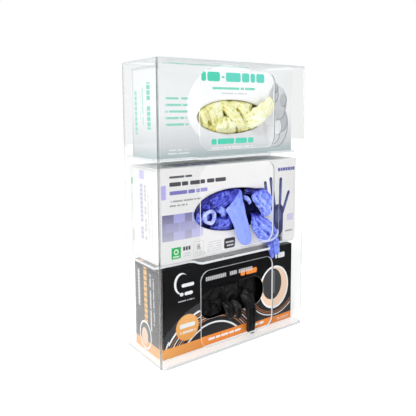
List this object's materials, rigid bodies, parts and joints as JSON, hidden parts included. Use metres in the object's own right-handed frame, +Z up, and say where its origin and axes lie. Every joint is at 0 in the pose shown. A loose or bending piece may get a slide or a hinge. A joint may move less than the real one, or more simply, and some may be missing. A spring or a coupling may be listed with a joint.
{
  "type": "glove dispenser",
  "caption": "Clear acrylic dispenser with three stacked bays, each holding a carton of disposable gloves pulled out through a window.",
  "frame": {"origin": "bottom centre of the loaded case's bounding box", "axes": "+Z up, the front with its windows faces -Y, the open loading end faces +X"},
  "size_m": [0.265, 0.105, 0.41],
  "materials": {
    "acrylic": "clear polished",
    "upper_board": "printed paperboard, white and teal",
    "middle_board": "printed paperboard, pale grey and lavender",
    "lower_board": "printed paperboard, black and orange",
    "cream_glove": "thin latex",
    "blue_glove": "thin nitrile",
    "black_glove": "thin nitrile"
  },
  "bodies": {
    "root": {"wrap_sheet": "acrylic", "base_plate": "acrylic", "top_plate": "acrylic", "lower_shelf": "acrylic", "upper_shelf": "acrylic", "upper_carton": "upper_board", "upper_glove_stack": "cream_glove", "upper_glove_left": "cream_glove", "upper_glove_centre": "cream_glove", "upper_glove_pulled": "cream_glove", "middle_carton": "middle_board", "middle_glove_stack": "blue_glove", "middle_glove_arched": "blue_glove", "middle_glove_rolled": "blue_glove", "middle_glove_folded": "blue_glove", "middle_glove_hanging": "blue_glove", "middle_glove_bunched": "blue_glove", "middle_glove_draped": "blue_glove", "lower_carton": "lower_board", "lower_glove_stack": "black_glove", "lower_glove_left": "black_glove", "lower_glove_centre": "black_glove", "lower_glove_right": "black_glove", "lower_glove_drooping": "black_glove", "lower_glove_rolled": "black_glove"}
  },
  "joints": []
}
